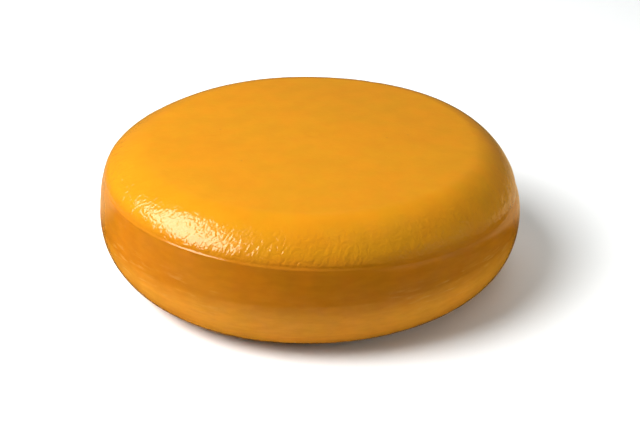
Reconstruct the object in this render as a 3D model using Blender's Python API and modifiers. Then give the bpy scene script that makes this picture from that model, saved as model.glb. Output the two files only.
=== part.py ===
"""A whole young gouda cheese: one uncut wheel in its smooth yellow rind.

Units are metres and +Z is up. The origin is in the middle of the flat foot that the wheel rests on.
The wheel is a turned shape. Its top is a nearly level round, then a rounded shoulder runs down to the crease
that the press lid leaves, a side band leans out to the widest ring, and a rounded heel runs in to the foot.
A pressed wheel is a little uneven, so the turned mesh is then moved by a formula: the crease stands higher on
one side and is crisp only in front, the middle of the wheel leans to one side, and the round is slightly out of
true.
"""

import math

import bmesh
import bpy

# Radii, from the axis outward
FOOT_RADIUS = 0.1316
TOP_RADIUS = 0.1346
CREASE_RADIUS = 0.1761
WIDEST_RADIUS = 0.1800

# Heights above the surface that the wheel rests on
WIDEST_HEIGHT = 0.0528
CREASE_HEIGHT = 0.0829
TOP_EDGE_HEIGHT = 0.1110
TOP_HEIGHT = 0.1130

# The shoulder's surface has turned this far down from level where it meets the crease's small raised lip
SHOULDER_TURN = math.radians(59)
LIP_HEIGHT = 0.0004
LIP_WIDTH = 0.0030

# The crease stands highest at one azimuth and lowest opposite, and is a little wider towards +X
CREASE_RISE = 0.0069
RISE_AZIMUTH = math.radians(190)
CREASE_SLIDE = 0.0005

# The crease is crisp round this azimuth, and elsewhere the band below it swells and softens it
CRISP_AZIMUTH = math.radians(258)
BAND_SWELL = 0.0006

# How uneven the whole wheel is: the middle of its height leans towards -X, and the round has three faint lobes
SIDEWAYS_LEAN = 0.0023
LOBE_HEIGHT = 0.0010
LOBE_AZIMUTH = math.radians(-12.5)
TOP_WAVE = 0.0005
WAVE_SPREAD = 0.035

# How finely the shape is divided
STEPS_AROUND = 96
STEPS_TOP = 7
STEPS_SHOULDER = 10
STEPS_BAND = 6
STEPS_HEEL = 10

RIND_COLOUR = (0.80, 0.36, 0.035, 1.0)
RIND_ROUGHNESS = 0.32


def top_points():
    """From the middle of the top to its edge, over a very low crown."""
    crown = TOP_HEIGHT - TOP_EDGE_HEIGHT
    points = []
    for step in range(STEPS_TOP):
        share = step / STEPS_TOP
        points.append((TOP_RADIUS * share, TOP_HEIGHT - crown * share**2))
    return points


def shoulder_points():
    """An elliptical arc from the edge of the top, level there, down to just above the crease's lip."""
    reach = (CREASE_RADIUS - TOP_RADIUS) / math.sin(SHOULDER_TURN)
    drop = (TOP_EDGE_HEIGHT - CREASE_HEIGHT) / (1 - math.cos(SHOULDER_TURN))
    points = []
    for step in range(STEPS_SHOULDER):
        turn = SHOULDER_TURN * step / STEPS_SHOULDER
        points.append((TOP_RADIUS + reach * math.sin(turn), TOP_EDGE_HEIGHT - drop * (1 - math.cos(turn))))
    return points


def crease_points():
    """The small lip along the crease: up to its ridge and down into the side band."""
    return [
        (CREASE_RADIUS - LIP_WIDTH * 0.25, CREASE_HEIGHT + LIP_WIDTH * 0.5),
        (CREASE_RADIUS + LIP_HEIGHT, CREASE_HEIGHT),
        (CREASE_RADIUS + LIP_WIDTH * 0.05, CREASE_HEIGHT - LIP_WIDTH * 0.5),
    ]


def band_points():
    """The side band, which leans out a little on its way down to the widest ring."""
    points = []
    for step in range(1, STEPS_BAND):
        share = step / STEPS_BAND
        radius = CREASE_RADIUS + (WIDEST_RADIUS - CREASE_RADIUS) * share
        height = CREASE_HEIGHT + (WIDEST_HEIGHT - CREASE_HEIGHT) * share
        points.append((radius, height))
    return points


def heel_points():
    """A quarter of an ellipse from the widest ring, upright there, in to the flat foot."""
    points = []
    for step in range(STEPS_HEEL + 1):
        turn = math.pi / 2 * step / STEPS_HEEL
        radius = FOOT_RADIUS + (WIDEST_RADIUS - FOOT_RADIUS) * math.cos(turn)
        points.append((radius, WIDEST_HEIGHT * (1 - math.sin(turn))))
    return points


def half_section():
    """The outline that is turned, from the middle of the top, down the outside, to the middle of the foot."""
    return top_points() + shoulder_points() + crease_points() + band_points() + heel_points() + [(0.0, 0.0)]


def turned_mesh(outline):
    """Turns the outline round the Z axis and returns the closed mesh."""
    section = bpy.data.meshes.new("half_section")
    vertices = [(radius, 0.0, height) for radius, height in outline]
    edges = [(i, i + 1) for i in range(len(vertices) - 1)]
    section.from_pydata(vertices, edges, [])
    carrier = bpy.data.objects.new("half_section", section)
    bpy.context.scene.collection.objects.link(carrier)
    screw = carrier.modifiers.new("turn", "SCREW")
    screw.axis = "Z"
    screw.steps = STEPS_AROUND
    screw.render_steps = STEPS_AROUND
    screw.use_merge_vertices = True
    screw.merge_threshold = 0.0001
    depsgraph = bpy.context.evaluated_depsgraph_get()
    mesh = bpy.data.meshes.new_from_object(carrier.evaluated_get(depsgraph))
    bpy.data.objects.remove(carrier)
    bpy.data.meshes.remove(section)
    return mesh


def crease_crispness(azimuth):
    """1 where the crease is crisp, falling smoothly to 0 at the sides and behind."""
    facing = math.cos(azimuth - CRISP_AZIMUTH)
    share = min(max((facing - 0.30) / 0.50, 0.0), 1.0)
    return share * share * (3 - 2 * share)


def follow_crease(radius, height, azimuth):
    """Stretches the shoulder and the band so that they meet where the crease runs at this azimuth."""
    crease_radius = CREASE_RADIUS + CREASE_SLIDE * math.cos(azimuth)
    crease_height = CREASE_HEIGHT + CREASE_RISE * math.cos(azimuth - RISE_AZIMUTH)
    if height >= CREASE_HEIGHT and radius > TOP_RADIUS:
        outward = (radius - TOP_RADIUS) / (CREASE_RADIUS - TOP_RADIUS)
        downward = (TOP_EDGE_HEIGHT - height) / (TOP_EDGE_HEIGHT - CREASE_HEIGHT)
        radius = TOP_RADIUS + outward * (crease_radius - TOP_RADIUS)
        height = TOP_EDGE_HEIGHT - downward * (TOP_EDGE_HEIGHT - crease_height)
    elif WIDEST_HEIGHT < height < CREASE_HEIGHT:
        downward = (CREASE_HEIGHT - height) / (CREASE_HEIGHT - WIDEST_HEIGHT)
        swell = BAND_SWELL * (1 - crease_crispness(azimuth)) * 4 * downward * (1 - downward)
        radius += (crease_radius - CREASE_RADIUS) * (1 - downward) + swell
        height = crease_height - downward * (crease_height - WIDEST_HEIGHT)
    return radius, height


def uneven_place(x, y, z):
    """Where a point of the true turned wheel lies on the real, uneven one. The flat foot stays level."""
    azimuth = math.atan2(y, x)
    radius, height = follow_crease(math.hypot(x, y), z, azimuth)
    radius *= 1 + LOBE_HEIGHT / WIDEST_RADIUS * math.cos(3 * (azimuth - LOBE_AZIMUTH))
    lift = height / TOP_HEIGHT
    lean = -SIDEWAYS_LEAN * 4 * lift * (1 - lift)
    x = radius * math.cos(azimuth) + lean
    y = radius * math.sin(azimuth)
    wave = TOP_WAVE * lift**3 * math.sin(x / WAVE_SPREAD + 0.7) * math.cos(y / WAVE_SPREAD - 0.5)
    return x, y, height + wave


def centre_on_foot(mesh):
    """Moves the mesh sideways so that the origin is in the middle of its box."""
    xs = [vertex.co.x for vertex in mesh.vertices]
    ys = [vertex.co.y for vertex in mesh.vertices]
    middle_x = (min(xs) + max(xs)) / 2
    middle_y = (min(ys) + max(ys)) / 2
    for vertex in mesh.vertices:
        vertex.co.x -= middle_x
        vertex.co.y -= middle_y


def rind_material():
    """The glossy yellow coating that a young gouda wheel is painted with."""
    material = bpy.data.materials.new("gouda_rind")
    material.use_nodes = True
    shader = material.node_tree.nodes["Principled BSDF"]
    shader.inputs["Base Color"].default_value = RIND_COLOUR
    shader.inputs["Roughness"].default_value = RIND_ROUGHNESS
    shader.inputs["Metallic"].default_value = 0.0
    return material


def make_wheel(collection):
    """Builds the one solid wheel and puts it in the collection."""
    mesh = turned_mesh(half_section())
    mesh.name = "gouda_cheese"
    for vertex in mesh.vertices:
        vertex.co = uneven_place(*vertex.co)
    centre_on_foot(mesh)
    faces = bmesh.new()
    faces.from_mesh(mesh)
    bmesh.ops.recalc_face_normals(faces, faces=faces.faces)
    faces.to_mesh(mesh)
    faces.free()
    mesh.shade_smooth()
    mesh.set_sharp_from_angle(angle=math.radians(25))
    mesh.materials.append(rind_material())
    collection.objects.link(bpy.data.objects.new("gouda_cheese", mesh))


def main():
    for scene_object in list(bpy.data.objects):
        bpy.data.objects.remove(scene_object)
    collection = bpy.data.collections.new("gouda_cheese")
    bpy.context.scene.collection.children.link(collection)
    make_wheel(collection)


main()
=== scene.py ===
"""The looks of a whole young gouda cheese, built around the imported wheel.

Units are metres and +Z is up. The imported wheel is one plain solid. This script replaces it by a fine mesh of
nearly the same form, whose skin has the lip along the crease, the press's unevenness, the orange peel of the
coating and small dents. The rind's material adds what is finer: mottling, specks, scratches and rubbed
places. The floor, the lights and the camera come last.
"""

import math
from collections import namedtuple

import bpy
import numpy as np
from mathutils import Matrix, Vector, noise


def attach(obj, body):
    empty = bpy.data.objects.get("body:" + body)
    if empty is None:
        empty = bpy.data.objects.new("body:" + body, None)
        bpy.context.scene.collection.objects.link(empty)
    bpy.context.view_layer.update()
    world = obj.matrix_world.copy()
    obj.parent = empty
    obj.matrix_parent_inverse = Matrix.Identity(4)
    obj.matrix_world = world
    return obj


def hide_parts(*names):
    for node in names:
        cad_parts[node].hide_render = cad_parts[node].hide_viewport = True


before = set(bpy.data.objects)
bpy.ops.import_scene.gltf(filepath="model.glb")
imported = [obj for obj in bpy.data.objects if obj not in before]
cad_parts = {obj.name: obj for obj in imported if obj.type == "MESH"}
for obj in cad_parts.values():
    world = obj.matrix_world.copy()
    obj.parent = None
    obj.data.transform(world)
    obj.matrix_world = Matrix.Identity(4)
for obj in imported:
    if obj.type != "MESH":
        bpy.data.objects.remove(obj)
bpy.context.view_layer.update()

# The wheel's form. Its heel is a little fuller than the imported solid's, and its crease lies lower and is
# softer. Radii are from the axis outward.
FOOT_RADIUS = 0.1316
TOP_RADIUS = 0.1346
CREASE_RADIUS = 0.1761
WIDEST_RADIUS = 0.1800

# Heights above the surface that the wheel rests on
WIDEST_HEIGHT = 0.0528
CREASE_HEIGHT = 0.0812
TOP_EDGE_HEIGHT = 0.1110
TOP_HEIGHT = 0.1130

# How full the heel's round is: 1 is an ellipse, and less is fuller
HEEL_POWER = 0.94

# How far round its ellipse the shoulder has turned where it meets the crease
SHOULDER_TURN = math.radians(59)

# The crease stands highest at one azimuth and lowest opposite, and is a little wider towards +X
CREASE_RISE = 0.0087
RISE_AZIMUTH = math.radians(190)
CREASE_SLIDE = 0.0005

# The crease is crisp round one azimuth and soft elsewhere. The cosines are of the angles from there within
# which it is fully crisp and beyond which it is fully soft. Its corner is rounded within these distances,
# and where it is soft the band below it swells.
CRISP_AZIMUTH = math.radians(243)
CRISP_COSINE = 0.95
SOFT_COSINE = 0.62
CRISP_ROUNDING = 0.0014
SOFT_ROUNDING = 0.0130
BAND_SWELL = 0.0006

# The lip along the crisp crease, the narrow groove just above it, and the shoulder's fullness towards -X
LIP_HEIGHT = 0.00024
LIP_WIDTH = 0.0007
GROOVE_DEPTH = 0.00024
GROOVE_PLACE = 0.0024
GROOVE_WIDTH = 0.0013
FULLNESS_HEIGHT = 0.0014
FULLNESS_PLACE = 0.010
FULLNESS_WIDTH = 0.011

# How uneven the whole wheel is: the middle of its height leans towards -X, the round has three faint lobes,
# and the top is slightly wavy
SIDEWAYS_LEAN = 0.0023
LOBE_HEIGHT = 0.0010
LOBE_AZIMUTH = math.radians(-12.5)
TOP_WAVE = 0.0005
WAVE_SPREAD = 0.035
WAVE_PHASE_X = 0.7
WAVE_PHASE_Y = -0.5

# Relief of the skin: how far it stands proud, and how far apart its bumps are. It fades out within the
# margin above the foot.
UNDULATION_HEIGHT = 0.00022
UNDULATION_SPREAD = 0.060
RIPPLE_HEIGHT = 0.00008
RIPPLE_SPREAD = 0.020
PEEL_HEIGHT = 0.00018
PEEL_SPREAD = 0.0062
PEEL_STRETCH = 2.2
PEEL_SLANT = math.radians(28)
RELIEF_MARGIN = 0.004

# The orange peel grows from this share of the way down the shoulder, fades within this distance above the
# crease, and is faint elsewhere
PEEL_START = 0.15
PEEL_MARGIN = 0.003
PEEL_ELSEWHERE = 0.12

# The shallow dents: how deep, how wide, and how far each one's size and shape vary
DENT_COUNT = 26
DENT_DEPTH = 0.00035
DENT_RADII = (0.004, 0.011)
DENT_STRETCHES = (0.7, 1.3)
DENT_SHARES = (0.3, 1.0)
DENT_SEED = 7

# Noise of each seed is read from another place
SEED_SHIFTS = (17.3, 5.1, 11.7)

# Columns of the mesh round the axis where it is finest, on the shoulder and the crease
COLUMNS = 960

# Where a point lies down the half section, counted in zones from the middle of the top
TOP_EDGE = 1
CREASE = 2
WIDEST_RING = 3
FOOT_EDGE = 4

# Stretches of the half section, in zones, along which each look fades in or out. The first two bring in the
# side's painted shade and the heel's painted bounce light.
SIDE_SHADE_STARTS = (TOP_EDGE + 0.75, CREASE + 0.05)
HEEL_BOUNCE_LIGHT_STARTS = (WIDEST_RING - 0.10, WIDEST_RING + 0.20)
ROUGH_SKIN_STARTS = (TOP_EDGE + 0.15, TOP_EDGE + 0.75)
ROUGH_SKIN_ENDS = (CREASE - 0.07, CREASE - 0.015)
WEAR_STARTS = (WIDEST_RING - 0.55, WIDEST_RING - 0.10)
WEAR_ENDS = (WIDEST_RING + 0.05, WIDEST_RING + 0.35)
DULL_FOOT_STARTS = (FOOT_EDGE - 0.10, FOOT_EDGE)

# The rind's colours, and the tints that vary them. The side is darker and more orange than the top as painted
# shade, and the heel is lighter, partly as painted light bounced up from the floor.
RIND_TOP = (0.445, 0.174, 0.004, 1)
SHADED_RIND_SIDE = (0.362, 0.119, 0.004, 1)
BOUNCE_LIT_RIND_HEEL = (0.560, 0.221, 0.018, 1)
RIND_SPECK = (0.30, 0.130, 0.012, 1)
RIND_RUBBED = (0.62, 0.34, 0.075, 1)
GREENER_TINT = (0.98, 1.025, 1.0, 1)
REDDER_TINT = (1.02, 0.975, 1.0, 1)
DARKER_TINT = (0.965, 0.965, 0.965, 1)
LIGHTER_TINT = (1.03, 1.03, 1.03, 1)
DRAWN_TINT = (0.93, 0.91, 0.90, 1)

# How glossy the rind is
RIND_IOR = 1.5
ROUGHNESS_RANGE = (0.08, 0.16)
RUBBED_ROUGHER = 0.06
FOOT_ROUGHER = 0.3

# The mottling: how far apart its patches are, and between which values of the noise one tint gives way to
# the other. Below the top it is also drawn out into streaks round the wheel.
PATCH_SPREAD = 0.045
BLOTCH_SPREAD = 0.014
PATCH_RANGE = (0.35, 0.65)
SHADE_SPREAD = 0.022
DRAWN_SPREAD = 0.0045
DRAWN_LENGTH = 3.5
GLOSS_SPREAD = 0.012
SHADE_RANGE = (0.3, 0.7)
GRAIN_ROUGHNESS = 0.55

# The dark specks
SPECK_SPREAD = 0.020
SPECK_RADIUS = 0.0013
SPECK_CORE = 0.5
SPECKS_KEPT = 0.30
SPECK_STRENGTH = 0.55

# The rubbed flecks, which lie thick in worn stretches of the widest ring and thin between them
FLECK_SPREAD = 0.0024
FLECK_LENGTH = 8.0
FLECK_RANGE = (0.50, 0.68)
WORN_SPREAD = 0.016
WORN_RANGE = (0.42, 0.60)
WORN_LEAST = 0.2
WORN_AZIMUTHS = (math.radians(222), math.radians(312), math.radians(75))
WORN_REACH = math.radians(32)
WORN_ELSEWHERE = 0.15
RUBBED_STRENGTH = 0.22

# The finest relief, in the material: how high or deep, and how far apart
FINE_PEEL_HEIGHT = 0.00038
FINE_PEEL_SPREAD = 0.0034
FINE_PEEL_ELSEWHERE = 0.25
CRACK_DEPTH = 0.00012
CRACK_SPREAD = 0.0080
CRACK_WIDTH = 0.09
STREAK_HEIGHT = 0.00028
STREAK_SPREAD = 0.0026
STREAK_LENGTH = 5.0
STREAK_SLANT = math.radians(20)
GRIT_HEIGHT = 0.000006
GRIT_SPREAD = 0.0009
SCRAPE_DEPTH = 0.00001

# Towards +X the streaks turn to lean the other way and grow stronger, over this distance from the axis
RIGHT_REACH = 0.10
RIGHT_STRENGTH = 1.7

# The camera: its place, the point it looks at, its roll and its lens in millimetres
CAMERA_PLACE = (0.0, -0.9469, 0.5349)
CAMERA_AIM = (0.0083, 0.0, 0.0381)
CAMERA_ROLL = math.radians(-0.13)
CAMERA_LENS = 68.72
SENSOR_WIDTH = 36.0

# The room's dim light, and the point that the lights aim at
ROOM_COLOUR = (0.72, 1.0, 0.97, 1)
ROOM_STRENGTH = 0.08
WHEEL_MIDDLE = (0.0, 0.0, 0.06)

# The floor, just below the foot
FLOOR_SIZE = 8.0
FLOOR_GAP = 0.0002
FLOOR_SHADE = 0.81
MATTE_ROUGHNESS = 0.9

# The black strip in front of the wheel
FLAG_WIDTH = 1.4
FLAG_Y = -0.34
FLAG_HEIGHT = 0.10

# The glowing sheet on the floor. Its glow rises over the fade from the start, and beyond the end it falls to
# a weaker rest.
REFLECTOR_SIZE = 4.0
REFLECTOR_COLOUR = (1.0, 0.68, 0.34, 1)
REFLECTOR_GLOW = 0.78
REFLECTOR_START = 0.02
REFLECTOR_FADE = 0.09
REFLECTOR_END = 0.25
REFLECTOR_FALL = 0.20
REFLECTOR_REST = 0.25

# One ring of the mesh: its azimuths, its points, its distance down the section and its place in zones
Ring = namedtuple("Ring", ["azimuths", "points", "travelled", "zone"])


def smooth_step(share):
    """0 below 0, 1 above 1 and a smooth rise between."""
    share = np.clip(share, 0.0, 1.0)
    return share * share * (3 - 2 * share)


def swelling(distance):
    """1 at no distance, falling smoothly to 0 on both sides."""
    return np.exp(-(distance**2))


def crispness(azimuths):
    """1 where the crease is crisp, falling smoothly to 0 at the sides and behind."""
    return smooth_step((np.cos(azimuths - CRISP_AZIMUTH) - SOFT_COSINE) / (CRISP_COSINE - SOFT_COSINE))


def crease_place(azimuths):
    """The radius and the height of the crease."""
    radius = CREASE_RADIUS + CREASE_SLIDE * np.cos(azimuths)
    height = CREASE_HEIGHT + CREASE_RISE * np.cos(azimuths - RISE_AZIMUTH)
    return radius, height


def top_row(share, azimuths):
    """The nearly level top, from its middle at 0 to its edge at 1."""
    level = np.ones_like(azimuths)
    return TOP_RADIUS * share * level, (TOP_HEIGHT - (TOP_HEIGHT - TOP_EDGE_HEIGHT) * share**2) * level


def shoulder_row(share, azimuths):
    """The elliptical arc from the edge of the top at 0 down to the crease at 1."""
    crease_radius, crease_height = crease_place(azimuths)
    turn = SHOULDER_TURN * share
    reach = (crease_radius - TOP_RADIUS) / math.sin(SHOULDER_TURN)
    drop = (TOP_EDGE_HEIGHT - crease_height) / (1 - math.cos(SHOULDER_TURN))
    return TOP_RADIUS + reach * math.sin(turn), TOP_EDGE_HEIGHT - drop * (1 - math.cos(turn))


def band_row(share, azimuths):
    """The side band, from the crease at 0 out to the widest ring at 1."""
    crease_radius, crease_height = crease_place(azimuths)
    swell = BAND_SWELL * (1 - crispness(azimuths)) * 4 * share * (1 - share)
    radius = crease_radius + (WIDEST_RADIUS - crease_radius) * share + swell
    return radius, crease_height + (WIDEST_HEIGHT - crease_height) * share


def heel_row(share, azimuths):
    """The full round from the widest ring at 0 in to the edge of the foot at 1."""
    turn = math.pi / 2 * share
    level = np.ones_like(azimuths)
    radius = FOOT_RADIUS + (WIDEST_RADIUS - FOOT_RADIUS) * max(math.cos(turn), 0.0) ** HEEL_POWER
    return radius * level, WIDEST_HEIGHT * (1 - math.sin(turn) ** HEEL_POWER) * level


def foot_row(share, azimuths):
    """The flat foot, from its edge at 0 to its middle at 1."""
    return FOOT_RADIUS * (1 - share) * np.ones_like(azimuths), np.zeros_like(azimuths)


# The mesh's rows, from the middle of the top outward and down to the middle of the foot. Each line has the
# rows' function, where their zone starts, the shares of it that they run between, and how many rows and
# columns there are. The next line has as many columns, twice as many or half as many.
ROWS = (
    (top_row, 0, 0.02, 0.16, 4, COLUMNS // 16),
    (top_row, 0, 0.16, 0.36, 6, COLUMNS // 8),
    (top_row, 0, 0.36, 0.66, 9, COLUMNS // 4),
    (top_row, 0, 0.66, 1.0, 12, COLUMNS // 2),
    (shoulder_row, TOP_EDGE, 0.0, 0.93, 44, COLUMNS),
    (shoulder_row, TOP_EDGE, 0.93, 1.0, 9, COLUMNS),
    (band_row, CREASE, 0.0, 0.10, 7, COLUMNS),
    (band_row, CREASE, 0.10, 1.0, 14, COLUMNS // 2),
    (heel_row, WIDEST_RING, 0.0, 1.0, 32, COLUMNS // 2),
    (foot_row, FOOT_EDGE, 0.0, 0.40, 7, COLUMNS // 4),
    (foot_row, FOOT_EDGE, 0.40, 0.98, 8, COLUMNS // 8),
)


def finish_crease(radius, height, azimuths):
    """Rounds the corner at the crease, and adds the lip, groove and fullness beside it, to one row."""
    crease_radius, crease_height = crease_place(azimuths)
    away = np.hypot(radius - crease_radius, height - crease_height)
    is_above = height > crease_height
    above = np.where(is_above, away, -away)
    crisp = crispness(azimuths)
    leftward = smooth_step(-np.cos(azimuths))

    band_lean = math.atan((WIDEST_RADIUS - CREASE_RADIUS) / (CREASE_HEIGHT - WIDEST_HEIGHT))
    corner = math.pi / 2 - band_lean - SHOULDER_TURN
    reach = SOFT_ROUNDING + (CRISP_ROUNDING - SOFT_ROUNDING) * crisp
    rounding = math.tan(corner / 2) * np.clip(reach - away, 0, None) ** 2 / (2 * reach)
    lip = LIP_HEIGHT * crisp * swelling(away / LIP_WIDTH)
    groove = GROOVE_DEPTH * crisp * is_above * swelling((away - GROOVE_PLACE) / GROOVE_WIDTH)
    fullness = FULLNESS_HEIGHT * leftward * swelling((above - FULLNESS_PLACE) / FULLNESS_WIDTH)

    proud = lip + fullness - groove - rounding
    facing = math.pi / 2 - SHOULDER_TURN - corner / 2
    return radius + proud * math.cos(facing), height + proud * math.sin(facing)


def uneven_place(radius, height, azimuths):
    """Where a ring of the true turned wheel lies on the real, uneven one. The flat foot stays level."""
    radius = radius * (1 + LOBE_HEIGHT / WIDEST_RADIUS * np.cos(3 * (azimuths - LOBE_AZIMUTH)))
    lift = height / TOP_HEIGHT
    x = radius * np.cos(azimuths) - SIDEWAYS_LEAN * 4 * lift * (1 - lift)
    y = radius * np.sin(azimuths)
    wave = lift**3 * np.sin(x / WAVE_SPREAD + WAVE_PHASE_X) * np.cos(y / WAVE_SPREAD + WAVE_PHASE_Y)
    return np.stack([x, y, height + TOP_WAVE * wave], axis=-1)


def wheel_rings():
    """Every ring of the mesh, from the middle of the top to the middle of the foot."""
    rings = []
    travelled = 0.0
    before = (0.0, TOP_HEIGHT)
    for row_function, zone, start, end, count, columns in ROWS:
        azimuths = np.arange(columns) * (2 * math.pi / columns)
        for step in range(count):
            share = start + (end - start) * step / count
            radius, height = row_function(share, azimuths)
            if row_function in (shoulder_row, band_row):
                radius, height = finish_crease(radius, height, azimuths)
            middle = (float(radius.mean()), float(height.mean()))
            travelled += math.dist(before, middle)
            before = middle
            rings.append(Ring(azimuths, uneven_place(radius, height, azimuths), travelled, zone + share))
    return rings


def joined_faces(rings):
    """The faces between each ring and the next, with a fan in the middle of the top and of the foot."""
    starts = [int(start) for start in np.cumsum([0] + [len(ring.azimuths) for ring in rings])]
    faces = []
    for index in range(len(rings) - 1):
        upper, lower = len(rings[index].azimuths), len(rings[index + 1].azimuths)
        first, second = starts[index], starts[index + 1]
        for column in range(min(upper, lower)):
            following = (column + 1) % min(upper, lower)
            if upper == lower:
                faces.append((first + column, second + column, second + following, first + following))
            elif upper < lower:
                near, between = second + 2 * column, second + 2 * column + 1
                far = second + (2 * column + 2) % lower
                faces.append((first + column, near, between))
                faces.append((first + column, between, first + following))
                faces.append((first + following, between, far))
            else:
                near, between = first + 2 * column, first + 2 * column + 1
                far = first + (2 * column + 2) % upper
                faces.append((second + column, between, near))
                faces.append((second + column, second + following, between))
                faces.append((second + following, far, between))
    top_middle = starts[-1]
    foot_middle = top_middle + 1
    last = starts[-2]
    inner, outer = len(rings[0].azimuths), len(rings[-1].azimuths)
    for column in range(inner):
        faces.append((top_middle, column, (column + 1) % inner))
    for column in range(outer):
        faces.append((foot_middle, last + (column + 1) % outer, last + column))
    return faces


def field(points, spread, seed):
    """Smooth noise from about -1 to 1 at each point, whose bumps are about this far apart."""
    place = Vector([seed * shift for shift in SEED_SHIFTS])
    scale = 1 / spread
    return np.array([noise.noise(Vector(point) * scale + place) for point in points])


def unrolled(rings, slant, stretch):
    """The skin laid out as a drum, round the axis and down the section, so that noise can be stretched on it.

    The slant turns the direction of the stretch away from straight down the section.
    """
    places = []
    for ring in rings:
        turned = ring.azimuths + ring.travelled * math.tan(slant) / WIDEST_RADIUS
        x = WIDEST_RADIUS * np.cos(turned)
        y = WIDEST_RADIUS * np.sin(turned)
        down = np.full_like(turned, ring.travelled / stretch)
        places.append(np.stack([x, y, down], axis=-1))
    return np.concatenate([*places, np.zeros((2, 3))])


def dents(points):
    """How deep small dents reach at each point."""
    draw = np.random.default_rng(DENT_SEED)
    depth = np.zeros(len(points))
    for _ in range(DENT_COUNT):
        centre = points[draw.integers(len(points))]
        radius = draw.uniform(*DENT_RADII)
        away = np.linalg.norm((points - centre) * draw.uniform(*DENT_STRETCHES, 3), axis=1)
        deepest = DENT_DEPTH * draw.uniform(*DENT_SHARES) * radius / DENT_RADII[1]
        depth += deepest * smooth_step(1 - away / radius)
    return depth


def peel_share(rings):
    """How strong the orange peel is at each point: full on the lower shoulder, faint elsewhere."""
    edge = math.hypot(TOP_RADIUS, TOP_HEIGHT - TOP_EDGE_HEIGHT)
    crease = edge + math.hypot(CREASE_RADIUS - TOP_RADIUS, TOP_EDGE_HEIGHT - CREASE_HEIGHT)
    shares = []
    for ring in rings:
        rise = smooth_step((ring.travelled - edge) / (crease - edge) - PEEL_START)
        fall = 1 - smooth_step((ring.travelled - crease + PEEL_MARGIN) / PEEL_MARGIN)
        share = PEEL_ELSEWHERE + (1 - PEEL_ELSEWHERE) * float(rise * fall)
        shares.append(np.full(len(ring.azimuths), share))
    return np.concatenate([*shares, [0, 0]])


def skin_relief(points, rings):
    """How far the skin stands proud of the plain form at each point. The flat foot has no relief."""
    peel = peel_share(rings) * field(unrolled(rings, PEEL_SLANT, PEEL_STRETCH), PEEL_SPREAD, 3)
    relief = UNDULATION_HEIGHT * field(points, UNDULATION_SPREAD, 1)
    relief += RIPPLE_HEIGHT * field(points, RIPPLE_SPREAD, 2)
    relief += PEEL_HEIGHT * peel
    relief -= dents(points)
    return relief * smooth_step(points[:, 2] / RELIEF_MARGIN)


def make_wheel():
    """The fine mesh of the wheel, with its relief and the coordinates that the rind's material reads."""
    rings = wheel_rings()
    middles = [[0, 0, TOP_HEIGHT], [0, 0, 0]]
    points = np.concatenate([*[ring.points for ring in rings], middles])
    mesh = bpy.data.meshes.new("gouda_wheel")
    mesh.from_pydata(points.tolist(), [], joined_faces(rings))
    mesh.update()
    normals = np.array([vertex.normal for vertex in mesh.vertices])
    points = points + normals * skin_relief(points, rings)[:, None]
    points[:, :2] -= (points[:, :2].min(axis=0) + points[:, :2].max(axis=0)) / 2
    mesh.vertices.foreach_set("co", points.astype(np.float32).ravel())

    skin = mesh.attributes.new("skin", "FLOAT_VECTOR", "POINT")
    skin.data.foreach_set("vector", unrolled(rings, 0.0, 1.0).astype(np.float32).ravel())
    section = mesh.attributes.new("section", "FLOAT", "POINT")
    zones = [np.full(len(ring.azimuths), ring.zone) for ring in rings]
    section.data.foreach_set("value", np.concatenate([*zones, [0, FOOT_EDGE + 1]]).astype(np.float32))
    mesh.update()
    mesh.shade_smooth()
    wheel = bpy.data.objects.new("gouda_wheel", mesh)
    bpy.context.scene.collection.objects.link(wheel)
    return wheel


def set_input(tree, socket, value):
    """Sets an input to a value, or links it from a socket."""
    if isinstance(value, bpy.types.NodeSocket):
        tree.links.new(value, socket)
    else:
        socket.default_value = value


def add_node(tree, kind, inputs=None, **settings):
    """A new node with its settings, and with its inputs set to values or linked from sockets."""
    made = tree.nodes.new(kind)
    for name, value in settings.items():
        setattr(made, name, value)
    for name, value in (inputs or {}).items():
        set_input(tree, made.inputs[name], value)
    return made


def calculate(tree, operation, first, second=0.0):
    """The result of one sum on numbers or sockets."""
    return add_node(tree, "ShaderNodeMath", {0: first, 1: second}, operation=operation).outputs[0]


def total(tree, *terms):
    """The sum of several sockets or numbers."""
    result = terms[0]
    for term in terms[1:]:
        result = calculate(tree, "ADD", result, term)
    return result


def multiply(tree, *factors):
    """The product of several sockets or numbers."""
    result = factors[0]
    for factor in factors[1:]:
        result = calculate(tree, "MULTIPLY", result, factor)
    return result


def ramp(tree, value, low, high, start=0.0, end=1.0):
    """A smooth rise from start where the value is low to end where it is high."""
    inputs = {"Value": value, "From Min": low, "From Max": high, "To Min": start, "To Max": end}
    return add_node(tree, "ShaderNodeMapRange", inputs, interpolation_type="SMOOTHSTEP").outputs["Result"]


def grain(tree, place, spread, detail=0.0):
    """Smooth noise from 0 to 1 whose bumps are about this far apart."""
    inputs = {"Vector": place, "Scale": 1 / spread, "Detail": detail, "Roughness": GRAIN_ROUGHNESS}
    return add_node(tree, "ShaderNodeTexNoise", inputs).outputs["Fac"]


def furrows(tree, value, width):
    """1 along the thin winding lines where the noise passes its middle, and 0 away from them."""
    away = calculate(tree, "ABSOLUTE", calculate(tree, "SUBTRACT", value, 0.5))
    return ramp(tree, away, 0.0, width, 1.0, 0.0)


def down_the_drum(tree, drum, slant, length):
    """The drum's coordinates, stretched along lines that run at a slant to straight down the section."""
    down = add_node(tree, "ShaderNodeSeparateXYZ", {"Vector": drum}).outputs["Z"]
    angle = calculate(tree, "MULTIPLY", down, math.tan(slant) / WIDEST_RADIUS)
    axis = {"Vector": drum, "Angle": angle}
    turned = add_node(tree, "ShaderNodeVectorRotate", axis, rotation_type="Z_AXIS").outputs["Vector"]
    scale = {"Vector": turned, "Scale": (1, 1, 1 / length)}
    return add_node(tree, "ShaderNodeMapping", scale).outputs["Vector"]


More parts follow.
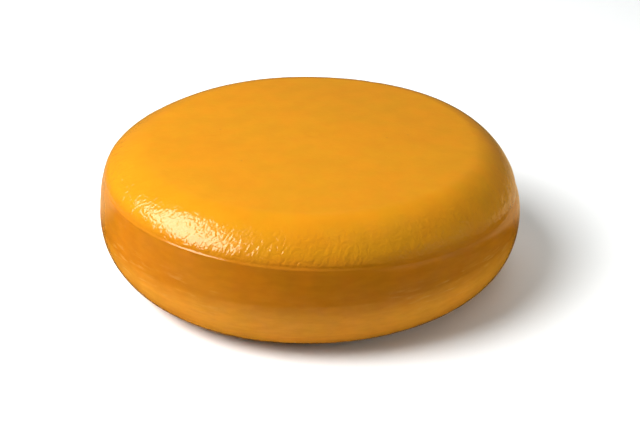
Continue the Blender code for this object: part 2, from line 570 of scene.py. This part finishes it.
def around_the_drum(tree, drum, length):
    """The drum's coordinates, stretched along lines that run round the wheel."""
    scale = {"Vector": drum, "Scale": (1 / length, 1 / length, 1)}
    return add_node(tree, "ShaderNodeMapping", scale).outputs["Vector"]


def mix_colour(tree, share, first, second, blend="MIX"):
    """The second colour over the first by this share."""
    mixer = add_node(tree, "ShaderNodeMix", data_type="RGBA", blend_type=blend)
    set_input(tree, mixer.inputs["Factor"], share)
    set_input(tree, mixer.inputs[6], first)
    set_input(tree, mixer.inputs[7], second)
    return mixer.outputs[2]


def tinted(tree, colour, share, first_tint, second_tint):
    """The colour times a tint, which goes from the first to the second by this share."""
    return mix_colour(tree, 1.0, colour, mix_colour(tree, share, first_tint, second_tint), "MULTIPLY")


def speck_share(tree, place):
    """1 in small round specks, one for some of the cells of the specks' spread, and 0 between them."""
    inputs = {"Vector": place, "Scale": 1 / SPECK_SPREAD, "Randomness": 1.0}
    cells = add_node(tree, "ShaderNodeTexVoronoi", inputs)
    chosen = add_node(tree, "ShaderNodeSeparateColor", {"Color": cells.outputs["Color"]})
    radius = SPECK_RADIUS / SPECK_SPREAD
    inside = ramp(tree, cells.outputs["Distance"], radius * SPECK_CORE, radius, 1.0, 0.0)
    picked = calculate(tree, "LESS_THAN", chosen.outputs["Red"], SPECKS_KEPT)
    return multiply(tree, inside, picked)


def worn_share(tree, drum):
    """1 in the middle of each worn stretch of the widest ring, and 0 away from them."""
    level = {0: drum, 1: (1, 1, 0)}
    around = add_node(tree, "ShaderNodeVectorMath", level, operation="MULTIPLY").outputs["Vector"]
    share = 0.0
    for azimuth in WORN_AZIMUTHS:
        towards = (math.cos(azimuth) / WIDEST_RADIUS, math.sin(azimuth) / WIDEST_RADIUS, 0)
        facing = add_node(tree, "ShaderNodeVectorMath", {0: around, 1: towards}, operation="DOT_PRODUCT")
        near = ramp(tree, facing.outputs["Value"], math.cos(WORN_REACH), 1.0)
        share = calculate(tree, "MAXIMUM", near, share)
    return share


def rubbed_share(tree, place, drum, section):
    """1 in the pale flecks that are drawn round the widest ring, and 0 between them."""
    starts = ramp(tree, section, *WEAR_STARTS)
    ends = ramp(tree, section, *WEAR_ENDS, 1.0, 0.0)
    around = around_the_drum(tree, drum, FLECK_LENGTH)
    flecks = ramp(tree, grain(tree, around, FLECK_SPREAD, detail=3.0), *FLECK_RANGE)
    patchy = ramp(tree, grain(tree, place, WORN_SPREAD, detail=1.0), *WORN_RANGE, WORN_LEAST, 1.0)
    worn = total(tree, worn_share(tree, drum), WORN_ELSEWHERE)
    return multiply(tree, flecks, patchy, worn, starts, ends)


def rind_colour(tree, place, drum, section, rubbed):
    """Yellow on the top, darker and more orange down the side as painted shade, lighter on the heel partly as
    painted bounce light, with mottling, small dark specks and pale flecks.
    """
    below_top = ramp(tree, section, *SIDE_SHADE_STARTS)
    below_ring = ramp(tree, section, *HEEL_BOUNCE_LIGHT_STARTS)
    # Painted shade darkens the side band, and painted light bounced up from the floor lightens the heel
    colour = mix_colour(tree, below_top, RIND_TOP, SHADED_RIND_SIDE)
    colour = mix_colour(tree, below_ring, colour, BOUNCE_LIT_RIND_HEEL)

    patches = grain(tree, place, PATCH_SPREAD, detail=1.0)
    blotches = grain(tree, place, BLOTCH_SPREAD, detail=2.0)
    tone = ramp(tree, multiply(tree, total(tree, patches, blotches), 0.5), *PATCH_RANGE)
    shade = ramp(tree, grain(tree, place, SHADE_SPREAD, detail=6.0), *SHADE_RANGE)
    around = around_the_drum(tree, drum, DRAWN_LENGTH)
    drawn = ramp(tree, grain(tree, around, DRAWN_SPREAD, detail=3.0), *SHADE_RANGE)
    colour = tinted(tree, colour, tone, GREENER_TINT, REDDER_TINT)
    colour = tinted(tree, colour, shade, DARKER_TINT, LIGHTER_TINT)
    colour = mix_colour(tree, below_top, colour, tinted(tree, colour, drawn, DRAWN_TINT, LIGHTER_TINT))

    specks = multiply(tree, speck_share(tree, place), SPECK_STRENGTH)
    colour = mix_colour(tree, specks, colour, RIND_SPECK)
    return mix_colour(tree, multiply(tree, rubbed, RUBBED_STRENGTH), colour, RIND_RUBBED)


def streaky(tree, drum, slant):
    """Noise drawn out into streaks that run down the shoulder at this slant."""
    return grain(tree, down_the_drum(tree, drum, slant, STREAK_LENGTH), STREAK_SPREAD, detail=1.0)


def rind_relief(tree, place, drum, section, rubbed):
    """The height in metres of what is too fine for the mesh."""
    starts = ramp(tree, section, *ROUGH_SKIN_STARTS)
    ends = ramp(tree, section, *ROUGH_SKIN_ENDS, 1.0, 0.0)
    lower_shoulder = multiply(tree, starts, ends)
    peel_strength = ramp(tree, lower_shoulder, 0.0, 1.0, FINE_PEEL_ELSEWHERE, 1.0)
    fine_peel = grain(tree, place, FINE_PEEL_SPREAD, detail=1.0)
    peel = multiply(tree, fine_peel, peel_strength, FINE_PEEL_HEIGHT)
    winding = furrows(tree, grain(tree, place, CRACK_SPREAD, detail=1.5), CRACK_WIDTH)
    cracks = multiply(tree, winding, lower_shoulder, -CRACK_DEPTH)

    across = add_node(tree, "ShaderNodeSeparateXYZ", {"Vector": place}).outputs["X"]
    rightward = ramp(tree, across, 0.0, RIGHT_REACH)
    leftward = calculate(tree, "SUBTRACT", 1.0, rightward)
    left_streaks = multiply(tree, streaky(tree, drum, STREAK_SLANT), leftward)
    right_streaks = multiply(tree, streaky(tree, drum, -STREAK_SLANT), rightward, RIGHT_STRENGTH)
    streaks = multiply(tree, total(tree, left_streaks, right_streaks), lower_shoulder, STREAK_HEIGHT)

    grit = multiply(tree, grain(tree, place, GRIT_SPREAD, detail=1.0), GRIT_HEIGHT)
    scrapes = multiply(tree, rubbed, -SCRAPE_DEPTH)
    return total(tree, peel, cracks, streaks, grit, scrapes)


def rind_material():
    """The glossy yellow coating, with its mottling, specks, rubbed places, scratches and orange peel."""
    material = bpy.data.materials.new("gouda_rind")
    material.use_nodes = True
    tree = material.node_tree
    shader = tree.nodes["Principled BSDF"]
    place = add_node(tree, "ShaderNodeTexCoord").outputs["Object"]
    drum = add_node(tree, "ShaderNodeAttribute", attribute_name="skin").outputs["Vector"]
    section = add_node(tree, "ShaderNodeAttribute", attribute_name="section").outputs["Fac"]
    rubbed = rubbed_share(tree, place, drum, section)

    relief = rind_relief(tree, place, drum, section, rubbed)
    bump = add_node(tree, "ShaderNodeBump", {"Strength": 1.0, "Distance": 1.0, "Height": relief})
    foot = ramp(tree, section, *DULL_FOOT_STARTS)
    gloss = ramp(tree, grain(tree, place, GLOSS_SPREAD, detail=2.0), *SHADE_RANGE, *ROUGHNESS_RANGE)
    rougher = total(tree, multiply(tree, rubbed, RUBBED_ROUGHER), multiply(tree, foot, FOOT_ROUGHER))
    set_input(tree, shader.inputs["Base Color"], rind_colour(tree, place, drum, section, rubbed))
    set_input(tree, shader.inputs["Roughness"], total(tree, gloss, rougher))
    set_input(tree, shader.inputs["Normal"], bump.outputs["Normal"])
    shader.inputs["IOR"].default_value = RIND_IOR
    return material


def matte_material(name, shade):
    """A plain grey without any gloss."""
    material = bpy.data.materials.new(name)
    material.use_nodes = True
    shader = material.node_tree.nodes["Principled BSDF"]
    shader.inputs["Base Color"].default_value = (shade, shade, shade, 1)
    shader.inputs["Roughness"].default_value = MATTE_ROUGHNESS
    shader.inputs["Specular IOR Level"].default_value = 0.0
    return material


def glowing_material():
    """A warm glow that is dark in front, strongest just behind the axis and weaker far behind."""
    material = bpy.data.materials.new("reflector_glow")
    material.use_nodes = True
    tree = material.node_tree
    tree.nodes.remove(tree.nodes["Principled BSDF"])
    place = add_node(tree, "ShaderNodeTexCoord").outputs["Object"]
    back = add_node(tree, "ShaderNodeSeparateXYZ", {"Vector": place}).outputs["Y"]
    near = ramp(tree, back, REFLECTOR_START, REFLECTOR_START + REFLECTOR_FADE, 0.0, REFLECTOR_GLOW)
    far = ramp(tree, back, REFLECTOR_END, REFLECTOR_END + REFLECTOR_FALL, 1.0, REFLECTOR_REST)
    glow = {"Color": REFLECTOR_COLOUR, "Strength": multiply(tree, near, far)}
    emission = add_node(tree, "ShaderNodeEmission", glow).outputs["Emission"]
    set_input(tree, tree.nodes["Material Output"].inputs["Surface"], emission)
    return material


def level_corners(size, height):
    """The corners of a level square round the axis."""
    half = size / 2
    return [(-half, -half, height), (half, -half, height), (half, half, height), (-half, half, height)]


def flat_sheet(name, corners, material):
    """A flat sheet of the stage."""
    mesh = bpy.data.meshes.new(name)
    mesh.from_pydata(corners, [], [(0, 1, 2, 3)])
    mesh.materials.append(material)
    sheet = bpy.data.objects.new(name, mesh)
    bpy.context.scene.collection.objects.link(sheet)
    return sheet


def make_floor():
    """The level floor, just under the foot. It lights the wheel but isn't mirrored in the rind."""
    corners = level_corners(FLOOR_SIZE, -FLOOR_GAP)
    floor = flat_sheet("floor", corners, matte_material("pale_floor", FLOOR_SHADE))
    floor.visible_glossy = False


def make_flag():
    """A low black strip in front of the wheel, unseen, that holds the floor's light off the side band."""
    half = FLAG_WIDTH / 2
    bottom = [(-half, FLAG_Y, 0), (half, FLAG_Y, 0)]
    corners = [*bottom, (half, FLAG_Y, FLAG_HEIGHT), (-half, FLAG_Y, FLAG_HEIGHT)]
    flag = flat_sheet("flag", corners, matte_material("black_flag", 0.0))
    flag.visible_camera = False
    flag.visible_shadow = False


def make_reflector():
    """A sheet that glows behind the wheel and is only mirrored, as the pale rim along the outline."""
    reflector = flat_sheet("reflector", level_corners(REFLECTOR_SIZE, 0), glowing_material())
    reflector.visible_camera = False
    reflector.visible_diffuse = False
    reflector.visible_shadow = False


def direction(azimuth, elevation):
    """The unit vector towards this azimuth and elevation, in degrees."""
    around, up = math.radians(azimuth), math.radians(elevation)
    return Vector((math.cos(up) * math.cos(around), math.cos(up) * math.sin(around), math.sin(up)))


def make_light(
    name,
    azimuth,
    elevation,
    distance,
    size,
    radiance,
    aim=WHEEL_MIDDLE,
    tint=(1.0, 1.0, 1.0),
    shape="ELLIPSE",
    roll=0.0,
    mirrored=False,
):
    """A soft-box at this azimuth and elevation from what it aims at. Its radiance is how bright its face is.

    A mirrored soft-box shows only in the rind, as the highlight, and the others only shine. Angles are in
    degrees.
    """
    lamp = bpy.data.lights.new(name, "AREA")
    lamp.shape = shape
    lamp.size, lamp.size_y = size
    area = size[0] * size[1] * (math.pi / 4 if shape == "ELLIPSE" else 1)
    lamp.energy = radiance * math.pi * area
    lamp.color = tint
    holder = bpy.data.objects.new(name, lamp)
    towards = direction(azimuth, elevation)
    turn = towards.to_track_quat("Z", "Y").to_matrix() @ Matrix.Rotation(math.radians(roll), 3, "Z")
    holder.matrix_world = Matrix.Translation(Vector(aim) + towards * distance) @ turn.to_4x4()
    holder.visible_diffuse = not mirrored
    holder.visible_glossy = mirrored
    bpy.context.scene.collection.objects.link(holder)


def make_lights():
    """The highlight, the main light at the left as two soft-boxes, and the weaker lights that fill in."""
    make_light(
        "highlight",
        azimuth=191,
        elevation=45,
        distance=1.3,
        size=(1.22, 0.60),
        radiance=9.5,
        tint=(1.0, 0.94, 0.76),
        shape="RECTANGLE",
        roll=-14,
        mirrored=True,
    )
    make_light("key_low", azimuth=199, elevation=36, distance=1.3, size=(1.10, 0.80), radiance=6.2)
    make_light("key_high", azimuth=195, elevation=51, distance=1.3, size=(1.22, 0.97), radiance=11.3)
    make_light(
        "top",
        azimuth=335,
        elevation=66,
        distance=1.6,
        size=(1.2, 1.2),
        radiance=0.9,
        tint=(1.0, 0.96, 0.94),
    )
    make_light(
        "fill_right_front",
        azimuth=338,
        elevation=9,
        distance=0.9,
        size=(0.9, 0.26),
        radiance=5.8,
        tint=(0.95, 1.0, 0.95),
    )
    make_light(
        "back_floor",
        azimuth=90,
        elevation=60,
        distance=1.4,
        size=(1.9, 0.8),
        radiance=4.3,
        aim=(0.20, 1.05, 0.0),
    )


def make_world():
    """The dim, even light of the room."""
    world = bpy.data.worlds.new("room")
    world.use_nodes = True
    background = world.node_tree.nodes["Background"]
    background.inputs["Color"].default_value = ROOM_COLOUR
    background.inputs["Strength"].default_value = ROOM_STRENGTH
    bpy.context.scene.world = world


def make_camera():
    """The camera that the wheel is seen from, set by its place, its aim and its roll."""
    lens = bpy.data.cameras.new("camera")
    lens.sensor_width = SENSOR_WIDTH
    lens.lens = CAMERA_LENS
    camera = bpy.data.objects.new("camera", lens)
    place = Vector(CAMERA_PLACE)
    forward = (Vector(CAMERA_AIM) - place).normalized()
    right = forward.cross(Vector((0, 0, 1))).normalized()
    up = right.cross(forward)
    rolled_right = right * math.cos(CAMERA_ROLL) + up * math.sin(CAMERA_ROLL)
    rolled_up = up * math.cos(CAMERA_ROLL) - right * math.sin(CAMERA_ROLL)
    turn = Matrix((rolled_right, rolled_up, -forward)).transposed()
    camera.matrix_world = Matrix.Translation(place) @ turn.to_4x4()
    bpy.context.scene.collection.objects.link(camera)
    bpy.context.scene.camera = camera


wheel = make_wheel()
wheel.data.materials.append(rind_material())
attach(wheel, "root")
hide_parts("gouda_cheese")

make_floor()
make_flag()
make_reflector()
make_world()
make_lights()
make_camera()
bpy.context.scene.view_settings.view_transform = "Standard"
